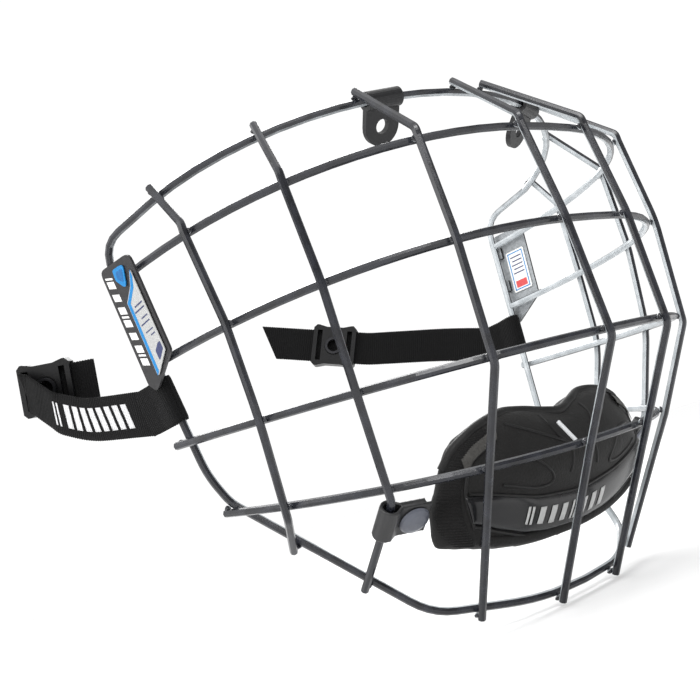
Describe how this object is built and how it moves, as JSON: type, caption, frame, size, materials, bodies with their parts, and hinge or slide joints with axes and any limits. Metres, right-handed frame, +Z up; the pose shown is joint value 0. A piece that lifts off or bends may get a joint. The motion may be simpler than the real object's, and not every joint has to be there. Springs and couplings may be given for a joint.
{
  "type": "hockey helmet cage",
  "caption": "Full-face wire cage for an ice hockey helmet, with brow brackets, side plates, webbing side straps with snap buckles and a padded chin cup.",
  "frame": {"origin": "midway between the centres of the two brow brackets' holes, which the helmet's screws go through", "axes": "+X to the wearer's left, -Y out of the face, +Z up"},
  "size_m": [0.2216, 0.2258, 0.1807],
  "materials": {
    "graphite_paint": "satin",
    "black_sheet": "satin",
    "charcoal_enamel": "satin",
    "label_silver": "satin",
    "label_blue": "satin",
    "label_white": "satin",
    "black_webbing": "matte",
    "black_plastic": "satin",
    "gunmetal": "satin",
    "cup_foam": "matte",
    "band_gloss": "gloss",
    "binding_knit": "matte",
    "snap_cap_satin": "satin"
  },
  "bodies": {
    "cage": {"rim_wire": "graphite_paint", "brow_bar": "graphite_paint", "eye_bar": "graphite_paint", "nose_bar": "graphite_paint", "mouth_bar": "graphite_paint", "outer_upright_left": "graphite_paint", "outer_upright_right": "graphite_paint", "side_upright_left": "graphite_paint", "side_upright_right": "graphite_paint", "front_upright_left": "graphite_paint", "front_upright_right": "graphite_paint", "middle_upright_left": "graphite_paint", "middle_upright_right": "graphite_paint", "label_plate_left": "charcoal_enamel", "label_field_left": "label_silver", "label_badge_left": "label_blue", "label_plate_right": "charcoal_enamel", "label_field_right": "label_silver", "label_badge_right": "label_blue", "inner_label_left": "label_white", "chin_peg": "graphite_paint"},
    "bracket_left": {"brow_bracket_left": "black_sheet"},
    "bracket_right": {"brow_bracket_right": "black_sheet"},
    "strap_left": {"strap_left": "black_webbing"},
    "strap_right": {"strap_right": "black_webbing"},
    "buckle_left": {"buckle_left": "black_plastic", "snap_socket_left": "gunmetal"},
    "buckle_right": {"buckle_right": "black_plastic", "snap_socket_right": "gunmetal"},
    "chin": {"chin_cup": "cup_foam", "chin_band": "band_gloss", "cup_binding_left": "binding_knit", "cup_binding_right": "binding_knit", "chin_clip_left": "black_plastic", "snap_cap_left": "snap_cap_satin", "snap_stud_left": "snap_cap_satin", "chin_clip_right": "black_plastic", "snap_cap_right": "snap_cap_satin", "snap_stud_right": "snap_cap_satin"}
  },
  "joints": [
    {"name": "bracket_left_turn", "type": "hinge", "parent": "cage", "child": "bracket_left", "pos_m": [0.0412, -0.00554, 0.00682], "axis": [0.9599, 0.2729, -0.0641], "range_deg": [-40, 100]},
    {"name": "bracket_right_turn", "type": "hinge", "parent": "cage", "child": "bracket_right", "pos_m": [-0.0412, -0.00554, 0.00682], "axis": [0.9599, -0.2729, 0.0641], "range_deg": [-40, 100]},
    {"name": "strap_left_swing", "type": "hinge", "parent": "cage", "child": "strap_left", "pos_m": [0.09869, 0.07223, -0.06441], "axis": [0.1487, 0.03, 0.9884], "range_deg": [-8, 50]},
    {"name": "strap_right_swing", "type": "hinge", "parent": "cage", "child": "strap_right", "pos_m": [-0.09869, 0.07223, -0.06441], "axis": [0.1487, -0.03, -0.9884], "range_deg": [-8, 50]},
    {"name": "buckle_left_slide", "type": "slide", "parent": "strap_left", "child": "buckle_left", "axis": [-0.5361, 0.7509, 0.3856], "range_m": [-0.002, 0.015]},
    {"name": "buckle_right_slide", "type": "slide", "parent": "strap_right", "child": "buckle_right", "axis": [0.6027, -0.7847, -0.145], "range_m": [0, 0.008]},
    {"name": "chin_slide", "type": "slide", "parent": "cage", "child": "chin", "axis": [0, 0.7762, -0.6305], "range_m": [0, 0.003]}
  ]
}
